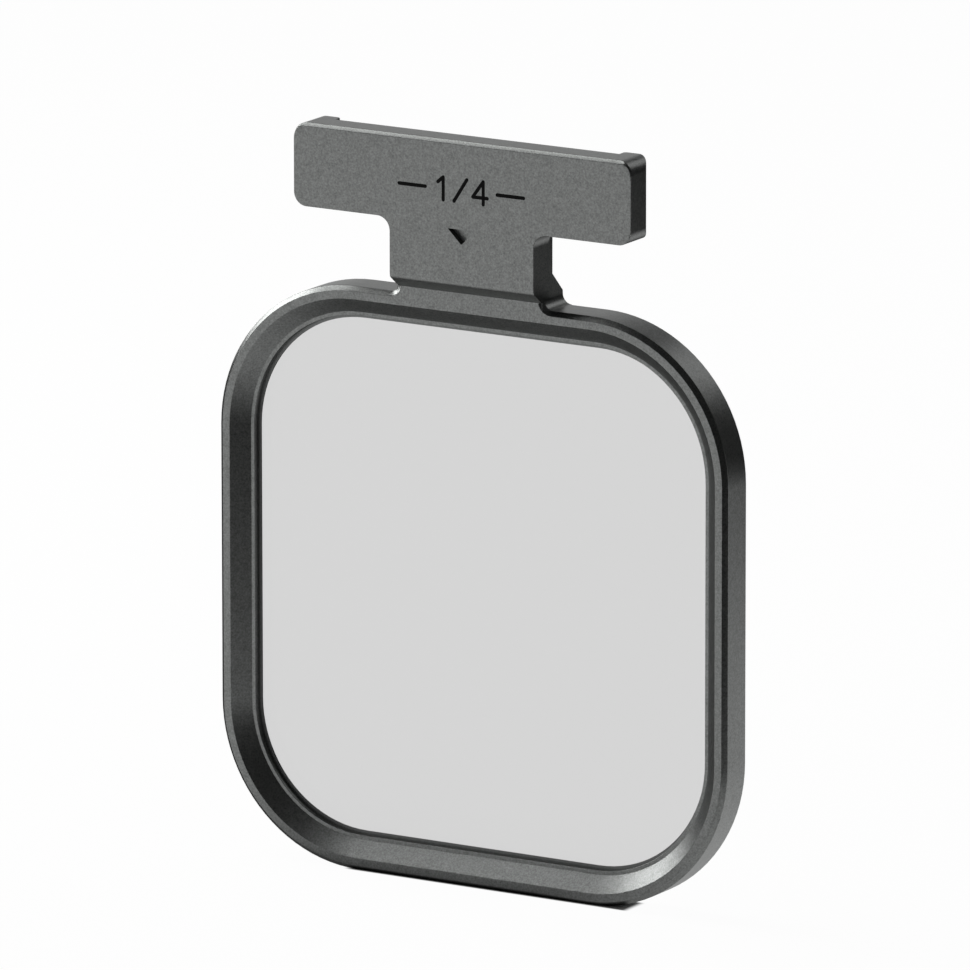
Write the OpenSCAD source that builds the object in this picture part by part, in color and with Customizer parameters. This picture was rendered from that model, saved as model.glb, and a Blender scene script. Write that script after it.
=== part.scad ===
// Magnetic neutral density filter: a rounded square glass in a one-piece
// machined frame, with a T-shaped pull tab on a cranked neck above it.
// X is to the right, Y runs from front to back, Z is up. Sizes in millimetres.
// The origin is under the middle of the filter, on its lowest edge.

/* [Frame] */
// Width of the frame across its straight sides
frame_w = 95; // [80:0.5:120]
// Height of the frame without neck and tab
frame_h = 96.85; // [80:0.5:120]
// Outer radius of the frame's four corners
frame_corner_r = 25.6; // [18:0.1:35]
// Depth of the frame, front face to back face
frame_d = 6.63; // [6:0.05:9]
// Chamfer on the outer front edge
front_chamfer = 0.75; // [0.4:0.05:1.2]
// Chamfer on the outer back edge
back_chamfer = 0.3; // [0.1:0.05:0.6]
// Width of the flat front face
face_w = 1.3; // [0.8:0.1:2.5]
// Width of the bevel that slopes in towards the glass
bevel_w = 2.6; // [1.5:0.1:4]
// Depth of that bevel
bevel_d = 2.5; // [1.5:0.1:3]
// Width of the flat lip inside the bevel
lip_w = 0.61; // [0.3:0.05:1.5]
// Thickness of the ledge that the glass lies behind
ledge_t = 1.18; // [0.8:0.05:1.6]

/* [Glass and its fixing] */
// How far the glass reaches outwards behind the ledge
glass_lap = 2; // [1.2:0.1:2.4]
// Thickness of the glass
glass_t = 1.5; // [1:0.1:1.8]
// Play between the edge of the glass and its pocket
glass_play = 0.1; // [0.05:0.05:0.3]
// Thickness of the seal between ledge and glass
seal_t = 0.25; // [0.15:0.05:0.4]
// Width of the seal that shows inside the ledge
seal_show = 0.54; // [0.2:0.02:1]
// How far the retaining ring's step is wider than the glass pocket
ring_step = 0.8; // [0.6:0.1:1.1]
// How far the retaining ring reaches over the glass from the pocket wall
ring_lap = 0.9; // [0.5:0.1:1.1]
// Thickness of the retaining ring
ring_t = 0.9; // [0.6:0.1:1]
// Play between the retaining ring and its step
ring_play = 0.05; // [0.02:0.01:0.1]

/* [Neck] */
// Width of the neck
neck_w = 26.86; // [18:0.1:34]
// Gap between the top of the frame and the underside of the tab
tab_gap = 12.88; // [10:0.1:20]
// How far the tab stands in front of the frame's front face
tab_proud = 2.6; // [1:0.1:4]
// Thickness of the neck above its crank
neck_t = 5.95; // [4:0.05:7]
// Height above the frame where the front slope starts
front_slope_z = 1.17; // [0.8:0.05:2]
// Height of the front slope
front_slope_h = 1.95; // [1:0.05:4]
// Height above the frame where the back slope starts
back_slope_z = 2.2; // [1.5:0.1:4]
// Height of the back slope
back_slope_h = 3.3; // [2:0.1:5]
// Radius of the bend at the top of the front slope
front_bend_r = 1.2; // [0.5:0.1:2]
// Fillet between the neck and the top of the frame
neck_fillet_r = 1.7; // [0.8:0.1:2.4]
// Fillet between the neck and the underside of the tab
tab_fillet_r = 2.3; // [1:0.1:4]
// Side length of the triangular pointer notch, across its top
notch_w = 5; // [3:0.1:7]
// Height of the pointer notch
notch_h = 2.45; // [1.5:0.05:4]
// Depth of the pointer notch
notch_d = 1.2; // [0.3:0.05:1.6]
// Height of the notch's top edge above the frame
notch_z = 12.2; // [6:0.1:16]

/* [Tab] */
// Width of the tab
tab_w = 62.8; // [50:0.5:80]
// Height of the tab
tab_h = 13.7; // [10:0.1:18]
// Thickness of the tab between its end pads
tab_t = 4.8; // [3:0.1:6]
// Corner radius of the tab in front view
tab_corner_r = 2.3; // [1:0.1:4]
// Chamfer along the tab's front top edge
tab_chamfer = 0.55; // [0.2:0.05:1]
// Corner radius of the leaning outline that makes that chamfer
tab_chamfer_r = 1.6; // [0.8:0.1:1.9]
// Width of the raised pad at each end of the tab's back
pad_w = 5; // [3:0.1:8]
// How far the pads stand out behind the tab
pad_proud = 1.75; // [1:0.05:3]
// Radius of the pads' outer back corners in plan view
pad_r = 2.4; // [0.8:0.1:2.8]
// Radius of the pads' inner back corners
pad_inner_r = 0.7; // [0.2:0.1:1.2]

/* [Magnets] */
// Diameter of each magnet
magnet_dia = 8; // [4:0.5:10]
// Thickness of each magnet
magnet_t = 2; // [1:0.1:2.5]
// Play between a magnet and the wall of its pocket
magnet_play = 0.05; // [0.02:0.01:0.2]
// Depth of a magnet's face below the tab's back
magnet_sink = 0.1; // [0:0.05:0.4]
// Distance between the two magnets, centre to centre
magnet_pitch = 40; // [30:0.5:46]

/* [Hidden] */
$fn = 96;

// Distances measured inwards from the outer edge of the frame
face_u = front_chamfer + face_w;
bevel_u = face_u + bevel_w;
ledge_u = bevel_u + lip_w;
glass_u = ledge_u - glass_lap;
step_u = glass_u - ring_step;

// Depths measured back from the frame's front face
glass_y = bevel_d + ledge_t;
glass_front_y = glass_y + seal_t;
step_y = glass_front_y + glass_t;

// Heights measured from the middle of the frame
half_h = frame_h / 2;
tab_z0 = half_h + tab_gap;
tab_z1 = tab_z0 + tab_h;
front_low_z = half_h + front_slope_z;
front_high_z = front_low_z + front_slope_h;
back_low_z = half_h + back_slope_z;
back_high_z = back_low_z + back_slope_h;

// Depths of the neck and the tab
neck_back_y = neck_t - tab_proud;
tab_back_y = tab_t - tab_proud;
pad_back_y = tab_back_y + pad_proud;
neck_top_z = tab_z0 + tab_fillet_r;

// The filter stands on z = 0 and is centred in depth
shift_y = -(frame_d - tab_proud) / 2;

anodised = [0.17, 0.175, 0.17];
smoke = [0.45, 0.46, 0.46, 0.5];
seal_black = [0.03, 0.03, 0.03];
nickel = [0.7, 0.69, 0.66];

// A closed band round the filter. The child is its section, drawn with
// x as the distance inwards from the outline and y as the depth.
module band(w, h, r) {
    for (c = [[1, -1, 0], [-1, -1, 90], [-1, 1, 180], [1, 1, 270]])
        translate([c[0] * (w / 2 - r), 0, c[1] * (h / 2 - r)])
            rotate([0, c[2], 0]) rotate([-90, 0, 0])
                rotate_extrude(angle = 90) translate([r, 0]) mirror([1, 0]) children();
    for (a = [0, 180]) rotate([0, a, 0]) band_side(w / 2, h - 2 * r) children();
    for (a = [90, 270]) rotate([0, a, 0]) band_side(h / 2, w - 2 * r) children();
}

module band_side(reach, length) {
    translate([reach, 0, -length / 2]) linear_extrude(length) mirror([1, 0]) children();
}

// A flat slab with rounded corners in front view, from depth y0 to y1
module slab(w, h, r, y0, y1) {
    translate([-w / 2 + r, y0, -h / 2]) cube([w - 2 * r, y1 - y0, h]);
    translate([-w / 2, y0, -h / 2 + r]) cube([w, y1 - y0, h - 2 * r]);
    for (x = [-1, 1], z = [-1, 1])
        translate([x * (w / 2 - r), y1, z * (h / 2 - r)])
            rotate([90, 0, 0]) cylinder(r = r, h = y1 - y0);
}

// Section of the frame, from the outer chamfer round to the back
module frame_section() {
    polygon([
        [0, front_chamfer],
        [front_chamfer, 0],
        [face_u, 0],
        [bevel_u, bevel_d],
        [ledge_u, bevel_d],
        [ledge_u, glass_y],
        [glass_u, glass_y],
        [glass_u, step_y],
        [step_u, step_y],
        [step_u, frame_d],
        [back_chamfer, frame_d],
        [0, frame_d - back_chamfer]
    ]);
}

// Neck from the side: cranked forwards, thicker where it joins the frame
module neck_block() {
    root_z = half_h - face_u;
    slope_len = sqrt(tab_proud * tab_proud + front_slope_h * front_slope_h);
    ny = -front_slope_h / slope_len;
    nz = -tab_proud / slope_len;
    k = front_bend_r / (1 - ny);
    cy = -tab_proud + k * (1 - ny);
    cz = front_high_z - k * nz;
    difference() {
        translate([-neck_w / 2, 0, 0]) rotate([90, 0, 90]) linear_extrude(neck_w)
            polygon([
                [0, root_z],
                [0, front_low_z],
                [-tab_proud, front_high_z],
                [-tab_proud, tab_z0 + tab_h / 2],
                [tab_back_y, tab_z0 + tab_h / 2],
                [tab_back_y, neck_top_z + neck_back_y - tab_back_y],
                [neck_back_y, neck_top_z],
                [neck_back_y, back_high_z],
                [frame_d, back_low_z],
                [frame_d, root_z]
            ]);
        difference() {
            translate([-neck_w / 2 - 1, 0, 0]) rotate([90, 0, 90]) linear_extrude(neck_w + 2)
                polygon([
                    [-tab_proud - 1, cz],
                    [cy - front_bend_r, cz],
                    [cy + front_bend_r * ny, cz + front_bend_r * nz],
                    [cy + (front_bend_r + 1) * ny, cz + (front_bend_r + 1) * nz]
                ]);
            translate([-neck_w / 2 - 2, cy, cz]) rotate([0, 90, 0])
                cylinder(r = front_bend_r, h = neck_w + 4);
        }
    }
}

// Concave corner between the neck and the top of the frame, on the right
module root_fillet() {
    x0 = neck_w / 2;
    r = neck_fillet_r;
    low = half_h - face_u;
    difference() {
        translate([x0 - 1, 0, low]) cube([r + 1, frame_d, r + half_h - low]);
        translate([x0 + r, frame_d + 1, half_h + r]) rotate([90, 0, 0]) cylinder(r = r, h = frame_d + 2);
    }
}

// Cut that carries the frame's front chamfer round that corner
module root_edge_cut() {
    r = neck_fillet_r;
    over = 0.5;
    low = half_h - 2 * front_chamfer;
    translate([neck_w / 2 + r, 0, half_h + r])
        intersection() {
            translate([0, front_chamfer, 0]) rotate([90, 0, 0])
                cylinder(r1 = r, r2 = r + front_chamfer + over, h = front_chamfer + over);
            translate([-2 * r - front_chamfer, -over, low - half_h - r])
                cube([2 * r + front_chamfer, over + front_chamfer, front_low_z - low]);
        }
}

// Concave corner between the neck and the underside of the tab, on the right
module tab_fillet() {
    x0 = neck_w / 2;
    r = tab_fillet_r;
    difference() {
        translate([x0 - 1, -tab_proud, tab_z0 - r]) cube([r + 1, tab_t, r + 1]);
        translate([x0 + r, tab_back_y + 1, tab_z0 - r]) rotate([90, 0, 0]) cylinder(r = r, h = tab_t + 2);
    }
}

// The bar of the tab. Its top chamfer is the top of a second slab, leant back by
// 45 degrees, so the chamfer narrows round the corners and ends at the sides.
module tab_bar() {
    reach = 2 * tab_h;
    intersection() {
        translate([0, 0, tab_z0 + tab_h / 2]) slab(tab_w, tab_h, tab_corner_r, -tab_proud, tab_back_y);
        translate([0, -tab_proud + tab_chamfer, tab_z1]) rotate([45, 0, 0])
            translate([0, 0, -reach]) slab(tab_w, 2 * reach, tab_chamfer_r, -reach, reach);
    }
}

// Raised pads behind both ends of the tab, with rounded back corners
module tab_pads() {
    inner_x = tab_w / 2 - pad_w;
    from_y = pad_back_y - pad_r;
    intersection() {
        translate([0, 0, tab_z0 + tab_h / 2]) slab(tab_w, tab_h, tab_corner_r, from_y, pad_back_y);
        for (a = [0, 1]) mirror([a, 0, 0]) translate([0, 0, tab_z0 - 1]) {
            translate([inner_x, from_y, 0]) cube([pad_w - pad_r, pad_r - pad_inner_r, tab_h + 2]);
            translate([inner_x + pad_inner_r, from_y, 0])
                cube([pad_w - pad_r - pad_inner_r, pad_r, tab_h + 2]);
            translate([inner_x + pad_inner_r, pad_back_y - pad_inner_r, 0])
                cylinder(r = pad_inner_r, h = tab_h + 2);
            translate([tab_w / 2 - pad_r, from_y, 0]) cylinder(r = pad_r, h = tab_h + 2);
        }
    }
}

module filter_frame() {
    color(anodised)
        translate([0, shift_y, half_h])
            difference() {
                union() {
                    band(frame_w, frame_h, frame_corner_r) frame_section();
                    neck_block();
                    tab_bar();
                    tab_pads();
                    for (a = [0, 1]) mirror([a, 0, 0]) {
                        root_fillet();
                        tab_fillet();
                    }
                }
                for (a = [0, 1]) mirror([a, 0, 0]) root_edge_cut();
                // Blind pockets for the two magnets
                for (side = [-1, 1])
                    translate([side * magnet_pitch / 2, tab_back_y + 1, tab_z0 + tab_h / 2])
                        rotate([90, 0, 0])
                            cylinder(r = magnet_dia / 2 + magnet_play, h = magnet_t + magnet_sink + 1);
                // Pointer notch
                translate([0, -tab_proud + notch_d, half_h + notch_z]) rotate([90, 0, 0])
                    linear_extrude(notch_d + 1)
                        polygon([[-notch_w / 2, 0], [0, -notch_h], [notch_w / 2, 0]]);
            }
}

module nd_glass() {
    grow = 2 * (glass_u + glass_play);
    color(smoke)
        translate([0, shift_y, half_h])
            slab(frame_w - grow, frame_h - grow, frame_corner_r - grow / 2, glass_front_y, step_y);
}

module glass_seal() {
    color(seal_black)
        translate([0, shift_y, half_h])
            band(frame_w, frame_h, frame_corner_r)
                polygon([
                    [glass_u + glass_play, glass_y],
                    [ledge_u + seal_show, glass_y],
                    [ledge_u + seal_show, glass_front_y],
                    [glass_u + glass_play, glass_front_y]
                ]);
}

module retaining_ring() {
    color(anodised)
        translate([0, shift_y, half_h])
            band(frame_w, frame_h, frame_corner_r)
                polygon([
                    [step_u + ring_play, step_y],
                    [glass_u + ring_lap, step_y],
                    [glass_u + ring_lap, step_y + ring_t],
                    [step_u + ring_play, step_y + ring_t]
                ]);
}

module magnet(side) {
    translate([side * magnet_pitch / 2, shift_y + tab_back_y - magnet_sink, half_h + tab_z0 + tab_h / 2])
        rotate([90, 0, 0]) cylinder(r = magnet_dia / 2, h = magnet_t);
}

module left_magnet() {
    color(nickel) magnet(-1);
}

module right_magnet() {
    color(nickel) magnet(1);
}

filter_frame();
nd_glass();
glass_seal();
retaining_ring();
left_magnet();
right_magnet();
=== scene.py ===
import math

import bpy
import numpy as np
from mathutils import Euler, Matrix, Vector


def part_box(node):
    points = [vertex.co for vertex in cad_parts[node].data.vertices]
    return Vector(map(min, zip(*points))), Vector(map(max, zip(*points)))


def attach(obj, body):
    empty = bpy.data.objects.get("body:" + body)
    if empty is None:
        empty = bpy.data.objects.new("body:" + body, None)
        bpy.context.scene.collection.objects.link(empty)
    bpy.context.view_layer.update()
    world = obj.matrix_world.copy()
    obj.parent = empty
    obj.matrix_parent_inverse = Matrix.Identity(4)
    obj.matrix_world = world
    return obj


# Looks of a neutral density filter in a dark grey blasted frame, standing on a white table.
# X to the right, Y from front to back, Z up, origin under the middle of the filter.
# Sizes and places in the dictionaries are in mm, except where a note says metres.

mm = 0.001
white = (1.0, 1.0, 1.0, 1.0)


class Wire:
    # One output of a shader node, so that an expression adds Math nodes
    def __init__(self, sheet, socket):
        self.sheet, self.socket = sheet, socket

    def math(self, operation, *others):
        return self.sheet.node("ShaderNodeMath", {"operation": operation}, dict(enumerate((self, *others))))

    def __add__(self, other):
        return self.math("ADD", other)

    def __mul__(self, other):
        return self.math("MULTIPLY", other)

    def __sub__(self, other):
        return self.math("SUBTRACT", other)

    def __rsub__(self, other):
        return self.sheet.node("ShaderNodeMath", {"operation": "SUBTRACT"}, {0: other, 1: self})

    def __lt__(self, other):
        return self.math("LESS_THAN", other)

    def __gt__(self, other):
        return self.math("GREATER_THAN", other)

    __radd__ = __add__
    __rmul__ = __mul__


class Sheet:
    # The node tree of one material or of the world
    def __init__(self, owner):
        owner.use_nodes = True
        self.owner, self.tree = owner, owner.node_tree
        self.tree.nodes.clear()

    def node(self, kind, settings, inputs, output=0):
        # Its settings come first, then the values or links of its sockets
        made = self.tree.nodes.new(kind)
        for key, value in settings.items():
            setattr(made, key, value)
        for key, value in inputs.items():
            if isinstance(value, Wire):
                self.tree.links.new(value.socket, made.inputs[key])
            else:
                made.inputs[key].default_value = value
        return Wire(self, made.outputs[output]) if len(made.outputs) else None

    def place(self):
        return self.node("ShaderNodeTexCoord", {}, {}, "Object")

    def axes(self):
        first = self.node("ShaderNodeSeparateXYZ", {}, {0: self.place()})
        return [Wire(self, output) for output in first.socket.node.outputs]

    def noise(self, size, detail, roughness=0.5):
        spots = {"Vector": self.place(), "Scale": 1.0 / (size * mm), "Detail": detail, "Roughness": roughness}
        return self.node("ShaderNodeTexNoise", {"noise_dimensions": "3D"}, spots)

    def blend(self, amount, first, second):
        # Two plain colours mixed by a number from 0 to 1
        settings = {"data_type": "RGBA", "clamp_factor": True}
        return self.node("ShaderNodeMix", settings, {0: amount, 6: (*first, 1.0), 7: (*second, 1.0)}, 2)

    def tone(self, color, strength):
        # A colour made lighter or darker by a number round 1
        return self.node("ShaderNodeVectorMath", {"operation": "SCALE"}, {0: color, "Scale": strength})

    def bump(self, height, strength, distance):
        sockets = {"Height": height, "Strength": strength, "Distance": distance * mm}
        return self.node("ShaderNodeBump", {}, sockets)

    def rise(self, value, places):
        # 0 before the first place and 1 after the second, with a smooth step between
        sockets = {"Value": value, "From Min": places[0], "From Max": places[1], "To Min": 0.0, "To Max": 1.0}
        return self.node("ShaderNodeMapRange", {"interpolation_type": "SMOOTHSTEP"}, sockets)

    def between(self, value, begins, ends):
        return self.rise(value, begins) * (1.0 - self.rise(value, ends))

    def rays(self, which):
        return self.node("ShaderNodeLightPath", {}, {}, which)

    def seen(self):
        # 1 where the camera looks, straight or through the glass
        return self.rays("Is Camera Ray").math("MAXIMUM", self.rays("Is Transmission Ray"))

    def finish(self, sockets):
        shader = self.node("ShaderNodeBsdfPrincipled", {}, sockets)
        self.node("ShaderNodeOutputMaterial", {}, {"Surface": shader})
        return self.owner


def newSheet(name):
    return Sheet(bpy.data.materials.new(name))


def spread(noise, reach):
    # Noise round 0.5 made into a number that goes about reach below and above 0
    return (noise - 0.5) * (2 * reach)


def dressNode(name, material):
    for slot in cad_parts[name].material_slots:
        slot.material = material


# The frame: its sizes as in the part, and its finish
frameLook = {
    "height": 96.85, "cornerR": 25.6, "frontChamfer": 0.75,      # of the rim
    "tabProud": 2.6, "tabChamfer": 0.55, "tabChamferZone": 2.2,  # zone goes down from the tab's top
    "slack": 0.03,                                               # keeps a mask off the next face
    "color": (0.193, 0.199, 0.195), "roughness": 0.38, "metallic": 0.97,
    "cutColor": (0.152, 0.157, 0.153), "cutRoughness": 0.32,     # chamfers milled after the blasting
    "grainSize": 0.30, "grainTone": 0.72, "grainRoughness": 0.06,
    "grainBump": 0.22, "grainDepth": 0.05, "cutGrainLost": 0.6,
    "mottleSize": 1.1, "mottleTone": 0.15,
    "edgeBreak": 0.08, "edgeAngle": 28.0,                        # edges sharper than so many degrees
    "joinReach": 0.001, "flatWeight": 60,
}


def rimFront():
    # Where the rim's front face lies in depth, worked out from the tab's front
    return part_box("filter_frame")[0][1] + frameLook["tabProud"] * mm


def insideOutline(x, z, width, height, cornerR):
    # Distance inwards from a rounded rectangle: corner radius less the length of what
    # lies past the corner's centre, less the larger of both overhangs where that is negative
    overX = x.math("ABSOLUTE") - (width / 2 - cornerR)
    overZ = z.math("ABSOLUTE") - (height / 2 - cornerR)
    cutX, cutZ = overX.math("MAXIMUM", 0.0), overZ.math("MAXIMUM", 0.0)
    corner = (cutX * cutX + cutZ * cutZ).math("SQRT")
    return cornerR - corner - overX.math("MAXIMUM", overZ).math("MINIMUM", 0.0)


def makeBlastedAnodising(p):
    # Blasted dark grey anodising: two sizes of noise in tone and bump. The chamfers are
    # smoother: the rim's where the distance from its outline is under their width, and the
    # tab's where the height is near its top and the depth near its front.
    sheet = newSheet("blastedAnodising")
    x, y, z = sheet.axes()
    low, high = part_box("filter_frame")
    height, slack = p["height"] * mm, p["slack"] * mm
    rimCut, tabCut = p["frontChamfer"] * mm - slack, p["tabChamfer"] * mm - slack
    inside = insideOutline(x, z - height / 2, float(high[0] - low[0]), height, p["cornerR"] * mm)
    rimY, tabY = float(rimFront()), float(low[1])
    onRim = (inside < rimCut) * (inside > slack) * (y < rimY + rimCut) * (y > rimY + slack)
    onTab = (z > float(high[2]) - p["tabChamferZone"] * mm) * (y < tabY + tabCut) * (y > tabY + slack)
    cut = (onRim + onTab).math("MINIMUM", 1.0)
    grain, mottle = sheet.noise(p["grainSize"], 3.0, 0.6), sheet.noise(p["mottleSize"], 2.0)
    strength = 1.0 + spread(grain, p["grainTone"]) + spread(mottle, p["mottleTone"])
    smoother = cut * (p["roughness"] - p["cutRoughness"])
    return sheet.finish({
        "Base Color": sheet.tone(sheet.blend(cut, p["color"], p["cutColor"]), strength),
        "Roughness": p["roughness"] + spread(grain, p["grainRoughness"]) - smoother,
        "Metallic": p["metallic"],
        "Normal": sheet.bump(grain * (1.0 - cut * p["cutGrainLost"]), p["grainBump"], p["grainDepth"]),
    })


def breakEdges(name, p):
    # The cutter and the blasting leave no edge quite sharp, and flat faces stay flat beside it
    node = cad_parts[name]
    weld = node.modifiers.new("joinedFaces", "WELD")
    weld.merge_threshold = p["joinReach"] * mm
    bevel = node.modifiers.new("brokenEdges", "BEVEL")
    bevel.width, bevel.segments = p["edgeBreak"] * mm, 2
    bevel.limit_method, bevel.angle_limit = "ANGLE", math.radians(p["edgeAngle"])
    bevel.use_clamp_overlap = False
    flats = node.modifiers.new("flatFaces", "WEIGHTED_NORMAL")
    flats.mode, flats.weight, flats.keep_sharp = "FACE_AREA", p["flatWeight"], False


# The glass: neutral, so its alpha alone sets how much white comes through
glassLook = {
    "color": (0.03, 0.03, 0.03), "alpha": 0.19, "bending": 1.5,
    "hazeSize": 18.0, "hazeTone": 0.1, "roughness": 0.025, "hazeRoughness": 0.005,
}


def makeGreyGlass(p):
    sheet = newSheet("greyGlass")
    haze = sheet.noise(p["hazeSize"], 2.0)
    return sheet.finish({
        "Base Color": sheet.tone(p["color"], 1.0 + spread(haze, p["hazeTone"])),
        "Roughness": p["roughness"] + spread(haze, p["hazeRoughness"]),
        "Alpha": p["alpha"], "IOR": p["bending"],
    })


# The seal: coated like the frame, with a dark line at the glass
sealLook = {
    "color": (0.19, 0.195, 0.192), "roughness": 0.47, "metallic": 0.92,
    "gapColor": (0.001, 0.001, 0.001), "gap": 0.22,
    "fleckSize": 0.3, "fleckTone": 0.3, "fleckRoughness": 0.05, "fleckBump": 0.1, "fleckDepth": 0.05,
}


def makeSealCoat(p):
    # Black where the depth is near the glass's front
    sheet = newSheet("sealCoat")
    x, y, z = sheet.axes()
    gap = y > float(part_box("nd_glass")[0][1]) - p["gap"] * mm
    fleck = sheet.noise(p["fleckSize"], 3.0)
    color = sheet.blend(gap, p["color"], p["gapColor"])
    return sheet.finish({
        "Base Color": sheet.tone(color, 1.0 + spread(fleck, p["fleckTone"])),
        "Roughness": p["roughness"] + spread(fleck, p["fleckRoughness"]),
        "Metallic": p["metallic"] * (1.0 - gap),
        "Normal": sheet.bump(fleck, p["fleckBump"], p["fleckDepth"]),
    })


# The retaining ring, on the back
ringLook = {
    "color": (0.022, 0.022, 0.023), "roughness": 0.42,
    "grainSize": 0.35, "grainTone": 0.2, "grainRoughness": 0.075, "grainBump": 0.1, "grainDepth": 0.04,
}


def makeRingAnodising(p):
    # Black anodising with a fine grain
    sheet = newSheet("ringAnodising")
    grain = sheet.noise(p["grainSize"], 3.0)
    return sheet.finish({
        "Base Color": sheet.tone(p["color"], 1.0 + spread(grain, p["grainTone"])),
        "Roughness": p["roughness"] + spread(grain, p["grainRoughness"]),
        "Normal": sheet.bump(grain, p["grainBump"], p["grainDepth"]),
    })


# The two disc magnets, on the back of the tab
magnetLook = {
    "color": (0.62, 0.61, 0.58), "roughness": 0.38,
    "cloudSize": 1.2, "cloudTone": 0.08, "cloudRoughness": 0.03,
}


def makeNickel(p):
    # Nickel plate: bright metal with faint clouding
    sheet = newSheet("nickelPlate")
    cloud = sheet.noise(p["cloudSize"], 4.0)
    return sheet.finish({
        "Base Color": sheet.tone(p["color"], 1.0 + spread(cloud, p["cloudTone"])),
        "Roughness": p["roughness"] + spread(cloud, p["cloudRoughness"]),
        "Metallic": 1.0,
    })


# The marking: a plain fraction between two dashes, for the share of light that passes. Its black
# is painted shade, standing in for the shade inside engraved grooves, on strokes that stand barely proud.
marking = {
    "middleZ": 115.47, "halfHeight": 1.85, "stroke": 0.3,  # stroke is half its width
    "depthShown": 0.012, "roundSteps": 13, "rings": 5,
    "color": (0.003, 0.003, 0.003), "roughness": 0.75, "shine": 0.12,
    "fleckSize": 0.3, "fleckTone": 0.3, "fleckRoughness": -0.05,
}


def makeMarkingGrooveShade(p):
    # Black strokes: painted shade in place of the shade inside engraved grooves
    sheet = newSheet("markingGrooveShade")
    fleck = sheet.noise(p["fleckSize"], 2.0)
    return sheet.finish({
        "Base Color": sheet.tone(p["color"], 1.0 + spread(fleck, p["fleckTone"])),
        "Roughness": p["roughness"] + spread(fleck, p["fleckRoughness"]),
        "Specular IOR Level": p["shine"],
    })


def strokeGrid(start, end, p, frontY):
    # A stroke with round ends: middle + r * (half length * side + half width * (cos a, sin a)),
    # a going round once, side +1 ahead and -1 behind; it stands out by 1 - r^4 of its height
    start, end = np.array(start), np.array(end)
    along = end - start
    length = np.linalg.norm(along)
    along = along / length
    across = np.array([-along[1], along[0]])
    ahead = np.linspace(-math.pi / 2, math.pi / 2, p["roundSteps"])
    angle = np.concatenate([ahead, ahead + math.pi])
    side = np.repeat([1.0, -1.0], p["roundSteps"])
    ring = np.linspace(0.0, 1.0, p["rings"])[:, None]
    goAlong = ring * (side * length / 2 + p["stroke"] * np.cos(angle))
    goAcross = ring * p["stroke"] * np.sin(angle)
    flat = (start + end) / 2 + goAlong[..., None] * along + goAcross[..., None] * across
    lift = np.broadcast_to(p["depthShown"] * (1.0 - ring ** 4), goAlong.shape)
    return np.stack([flat[..., 0] * mm, frontY - lift * mm, flat[..., 1] * mm], -1)


def meshFromGrids(name, grids, material):
    # Quads between neighbouring rows and columns; each grid closes on itself in columns
    points, quads, used = [], [], 0
    for grid in grids:
        rows, columns = grid.shape[:2]
        index = np.arange(rows * columns).reshape(rows, columns) + used
        after = np.roll(index, -1, 1)
        quads.append(np.stack([index[:-1], index[1:], after[1:], after[:-1]], -1).reshape(-1, 4))
        points.append(grid.reshape(-1, 3))
        used += rows * columns
    mesh = bpy.data.meshes.new(name)
    mesh.from_pydata(np.concatenate(points).tolist(), [], np.concatenate(quads).tolist())
    mesh.validate()
    mesh.polygons.foreach_set("use_smooth", [True] * len(mesh.polygons))
    mesh.materials.append(material)
    piece = bpy.data.objects.new(name, mesh)
    bpy.context.collection.objects.link(piece)
    return piece


def makeMarking(p):
    # Each line runs through places to the right of the tab's middle and above its own middle
    h, middle = p["halfHeight"], p["middleZ"]
    lines = [
        [(-11.6, 0), (-6.7, 0)],
        [(-4.35, h - 0.85), (-3.35, h), (-3.35, -h)],
        [(-1.35, -h), (1.05, h)],
        [(4.1, -h), (4.1, h), (2.15, -0.8), (4.85, -0.8)],
        [(6.7, 0), (11.6, 0)],
    ]
    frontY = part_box("filter_frame")[0][1]
    grids = [strokeGrid((a[0], a[1] + middle), (b[0], b[1] + middle), p, frontY)
             for line in lines for a, b in zip(line, line[1:])]
    piece = meshFromGrids("tab_marking", grids, makeMarkingGrooveShade(p))
    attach(piece, "root")


camera = {
    "turn": 31.032, "height": 13.078, "roll": 0.044,  # degrees to the right, above the horizon and of tilt
    "distance": 2.3525,                               # metres from the middle of the rim's front
    "aimRight": -2.411, "aimDown": 17.845,            # from there to the picture's middle
    "frameAcross": 66.253,                            # that the picture is wide at 1 m distance
    "sensor": 36.0, "near": 0.1, "far": 50.0,         # near and far in metres
}


def makeCamera(p):
    turn, height, roll = (math.radians(p[key]) for key in ("turn", "height", "roll"))
    facing = Euler((math.pi / 2 - height, 0.0, turn)).to_matrix() @ Matrix.Rotation(-roll, 3, "Z")
    right, up, back = facing.col
    middle = Vector((0.0, float(rimFront()), frameLook["height"] / 2 * mm))
    place = middle + back * p["distance"] - right * p["aimRight"] * mm + up * p["aimDown"] * mm
    data = bpy.data.cameras.new("camera")
    data.sensor_width = p["sensor"]
    data.lens = p["sensor"] / (p["frameAcross"] * mm)
    data.clip_start, data.clip_end = p["near"], p["far"]
    made = bpy.data.objects.new("camera", data)
    made.matrix_world = Matrix.Translation(place) @ facing.to_4x4()
    bpy.context.collection.objects.link(made)
    bpy.context.scene.camera = made


# Lamps, each with the side that it shines from and its distance and size in metres
lampAim = (0.0, 0.0, 0.06)  # metres
lamps = {
    "overheadLamp": {"from": (-0.45, -0.02, 0.89), "away": 0.8, "size": (0.34, 0.5), "watts": 2.2},
    "frontLeftLamp": {"from": (-0.52, -0.83, 0.16), "away": 1.3, "size": (1.1, 1.0), "watts": 2.3},
    "backLeftLamp": {"from": (-0.5, 0.83, 0.22), "away": 1.2, "size": (0.8, 0.8), "watts": 1.35},
    "leftLamp": {"from": (-0.90, 0.02, 0.42), "away": 0.8, "size": (0.34, 0.44), "watts": 4.1},
    "backRightLamp": {"from": (0.22, 0.83, 0.5), "away": 0.9, "size": (0.42, 0.3), "watts": 0.5},
}


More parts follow.
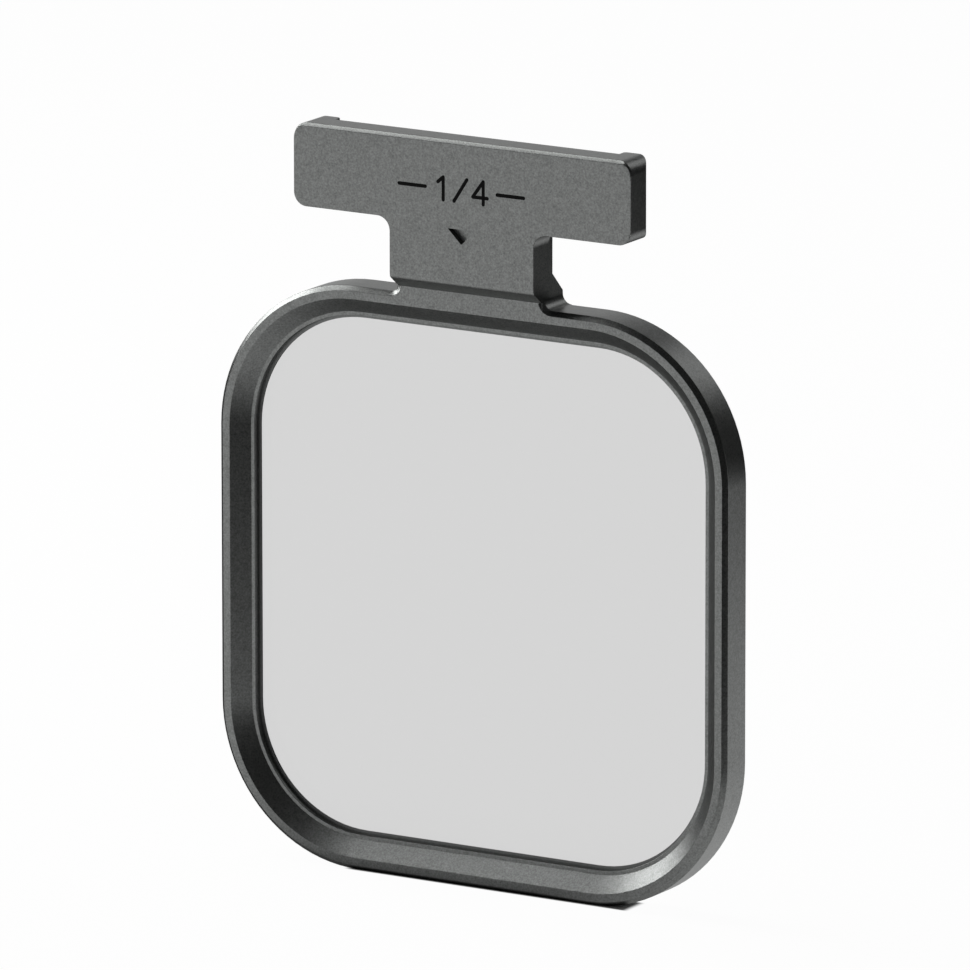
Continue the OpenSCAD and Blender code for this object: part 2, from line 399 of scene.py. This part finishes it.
def makeLamp(name, p):
    lamp = bpy.data.lights.new(name, "AREA")
    lamp.shape, lamp.energy = "RECTANGLE", p["watts"]
    lamp.size, lamp.size_y = p["size"]
    made = bpy.data.objects.new(name, lamp)
    made.location = Vector(lampAim) + Vector(p["from"]).normalized() * p["away"]
    made.rotation_mode = "QUATERNION"
    made.rotation_quaternion = (Vector(lampAim) - made.location).to_track_quat("-Z", "Y")
    bpy.context.collection.objects.link(made)


# The table, in metres. To the camera it is white. Metal sees painted reflections in it: a white
# glow at the front left and in a patch close behind at the right, and painted dark reflection on the rest and
# under the foot.
# Each pair of places is where a smooth step from one to the other begins and ends.
table = {
    "reach": 12.0, "color": (0.9, 0.9, 0.9), "darkReflectionColor": (0.02, 0.02, 0.02),
    "seenWhite": 0.97, "reflectionGlow": 0.95, "frontRightWhite": 0.04,
    "farWhite": 0.8, "farFade": (-0.9, -0.15),
    "frontEdge": (-0.045, 0.012), "leftEdge": (-0.01, 0.10),
    "patchLeft": (0.0, 0.05), "patchFront": (-0.07, 0.0), "patchBack": (0.12, 0.36),
    "footLeft": (-0.0245, -0.0225), "footRight": (0.0280, 0.0295),
    "footFront": (-0.0021, -0.0015), "footBack": (0.0036, 0.0042),
}


def makeTableWhite(p):
    # A little real shading stays in what the camera sees, so that the shadow stays. Under
    # the foot nothing but the real shading shows to the camera, and metal sees painted dark reflection there.
    sheet = newSheet("tableWhite")
    shaded = sheet.node("ShaderNodeBsdfDiffuse", {}, {"Color": (*p["color"], 1.0)})
    darkReflection = sheet.node("ShaderNodeBsdfDiffuse", {}, {"Color": (*p["darkReflectionColor"], 1.0)})
    glow = sheet.node("ShaderNodeEmission", {}, {"Color": white, "Strength": 1.0})
    x, y, z = sheet.axes()
    foot = sheet.between(x, p["footLeft"], p["footRight"]) * sheet.between(y, p["footFront"], p["footBack"])
    # Masks of painted reflection: where metal sees the table glow white
    patch = sheet.rise(x, p["patchLeft"]) * sheet.between(y, p["patchFront"], p["patchBack"])
    left = (1.0 - sheet.rise(x, p["leftEdge"])) * (1.0 - p["frontRightWhite"]) + p["frontRightWhite"]
    fade = sheet.rise(y, p["farFade"]) * (1.0 - p["farWhite"]) + p["farWhite"]
    front = fade * (1.0 - sheet.rise(y, p["frontEdge"]))
    whiteReflection = (front * left).math("MAXIMUM", patch) * (1.0 - foot)
    metal = sheet.rays("Is Glossy Ray")
    # The glow that glossy rays see is a painted reflection, not a lamp
    lit = sheet.seen() * (1.0 - foot) * p["seenWhite"] + metal * p["reflectionGlow"]
    bare = sheet.node("ShaderNodeMixShader", {}, {0: lit, 1: shaded, 2: glow})
    # Where no white is painted, metal sees a dark diffuse: painted dark reflection
    laid = sheet.node("ShaderNodeMixShader", {}, {0: metal * (1.0 - whiteReflection), 1: bare, 2: darkReflection})
    sheet.node("ShaderNodeOutputMaterial", {}, {"Surface": laid})
    return sheet.owner


def makeFloor(p):
    sides = [(-1, -1), (1, -1), (1, 1), (-1, 1)]
    mesh = bpy.data.meshes.new("floor")
    mesh.from_pydata([(x * p["reach"], y * p["reach"], 0) for x, y in sides], [], [(0, 1, 2, 3)])
    mesh.materials.append(makeTableWhite(p))
    floor = bpy.data.objects.new("floor", mesh)
    bpy.context.collection.objects.link(floor)


# The room: white where the camera looks, and dim to the filter
room = {"ambient": 0.05}


def makeWorld(p):
    sheet = Sheet(bpy.data.worlds.new("studio"))
    dim = sheet.node("ShaderNodeBackground", {}, {"Color": white, "Strength": p["ambient"]})
    bright = sheet.node("ShaderNodeBackground", {}, {"Color": white, "Strength": 1.0})
    mixed = sheet.node("ShaderNodeMixShader", {}, {0: sheet.seen(), 1: dim, 2: bright})
    sheet.node("ShaderNodeOutputWorld", {}, {"Surface": mixed})
    bpy.context.scene.world = sheet.owner


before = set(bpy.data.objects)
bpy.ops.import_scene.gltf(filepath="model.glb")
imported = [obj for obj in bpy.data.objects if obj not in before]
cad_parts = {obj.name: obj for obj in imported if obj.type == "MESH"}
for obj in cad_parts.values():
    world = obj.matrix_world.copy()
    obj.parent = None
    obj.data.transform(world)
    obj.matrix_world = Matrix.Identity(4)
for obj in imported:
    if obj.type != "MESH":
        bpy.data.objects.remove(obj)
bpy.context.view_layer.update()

makeCamera(camera)
print("camera placed")

nickel = makeNickel(magnetLook)
finishes = {
    "filter_frame": makeBlastedAnodising(frameLook),
    "nd_glass": makeGreyGlass(glassLook),
    "glass_seal": makeSealCoat(sealLook),
    "retaining_ring": makeRingAnodising(ringLook),
    "left_magnet": nickel,
    "right_magnet": nickel,
}
for name, finish in finishes.items():
    dressNode(name, finish)
breakEdges("filter_frame", frameLook)
print("finishes made")

makeMarking(marking)
print("marking made")

for name, lamp in lamps.items():
    makeLamp(name, lamp)
makeFloor(table)
makeWorld(room)
bpy.context.scene.view_settings.view_transform = "Standard"
print("studio made")
